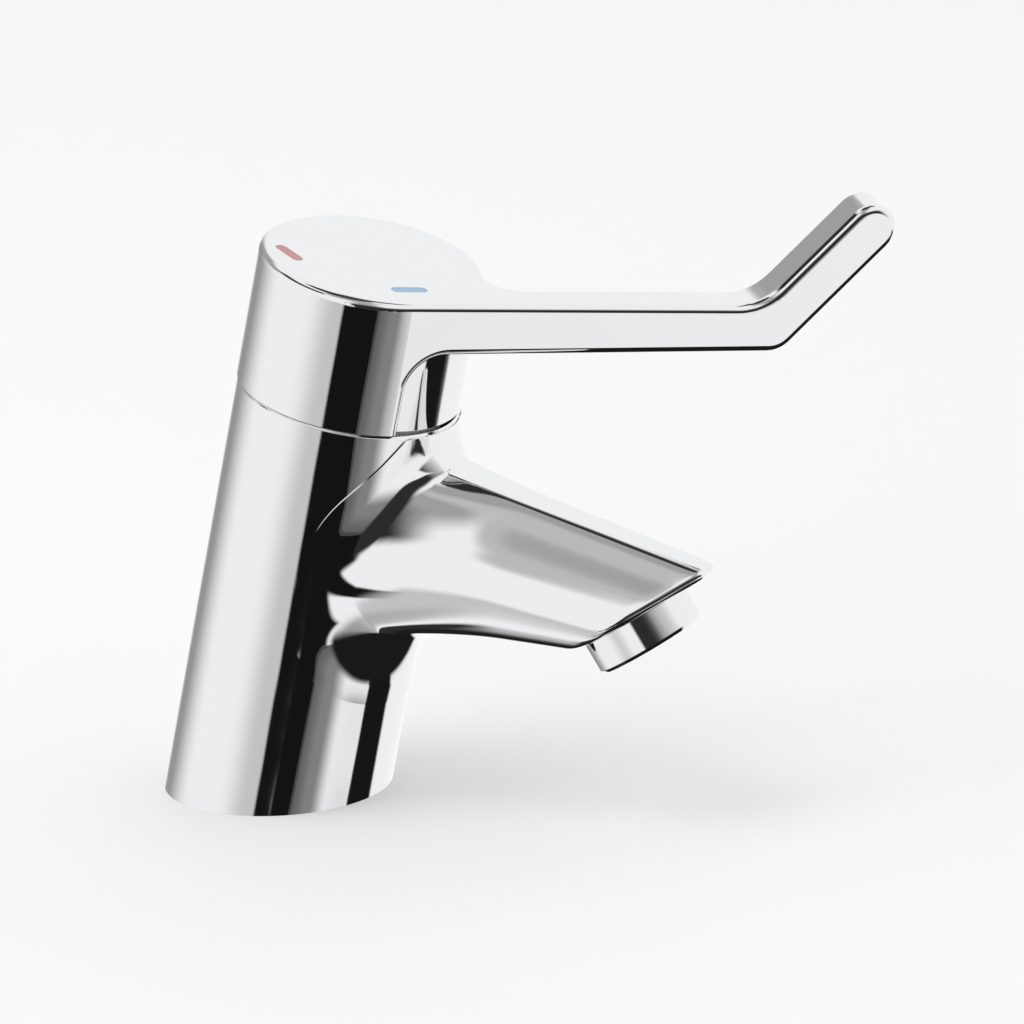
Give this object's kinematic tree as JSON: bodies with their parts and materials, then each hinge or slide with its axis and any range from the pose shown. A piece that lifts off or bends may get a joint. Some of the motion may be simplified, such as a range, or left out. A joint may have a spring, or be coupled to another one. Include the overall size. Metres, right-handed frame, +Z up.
{
  "type": "basin mixer tap",
  "caption": "Single-lever basin mixer tap with a leaning round body, ridged spout, aerator collar and a long cranked elbow lever that turns about the leaning axis.",
  "frame": {"origin": "centre of the base face, on the deck, above the centre of the deck hole", "axes": "+X towards the spout, +Z up, +Y to the right of a user who faces the spout"},
  "size_m": [0.156, 0.0938, 0.1299],
  "materials": {
    "chromed_body": "mirror chrome plate",
    "chromed_handle": "mirror chrome plate",
    "chromed_collar": "mirror chrome plate",
    "rubber": "matt",
    "white_plastic": "moulded",
    "ceramic": "lapped ceramic",
    "brass": "turned",
    "grey_plastic": "moulded",
    "steel": "plain",
    "blue_inlay": "gloss",
    "red_inlay": "gloss"
  },
  "bodies": {
    "tap_body": {"body_casting": "chromed_body", "base_gasket": "rubber", "cartridge_base": "white_plastic", "cold_inlet_seal": "rubber", "hot_inlet_seal": "rubber", "port_seal": "rubber", "fixed_disc": "ceramic", "cartridge_housing": "white_plastic", "housing_seal": "rubber", "retaining_nut": "brass", "guide_ring": "grey_plastic", "aerator_collar": "chromed_collar", "aerator_washer": "rubber", "aerator_insert": "grey_plastic", "aerator_grid": "grey_plastic"},
    "handle": {"handle_lever": "chromed_handle", "handle_insert": "white_plastic", "grub_screw": "steel", "screw_plug": "grey_plastic", "blue_mark": "blue_inlay", "red_mark": "red_inlay", "stem": "brass", "stem_seal": "rubber", "stem_circlip": "steel", "disc_carrier": "white_plastic", "moving_disc": "ceramic"}
  },
  "joints": [
    {"name": "handle_turn", "type": "hinge", "parent": "tap_body", "child": "handle", "pos_m": [0, 0, 0], "axis": [0.2419, 0, 0.9703], "range_deg": [-95, 0]}
  ]
}
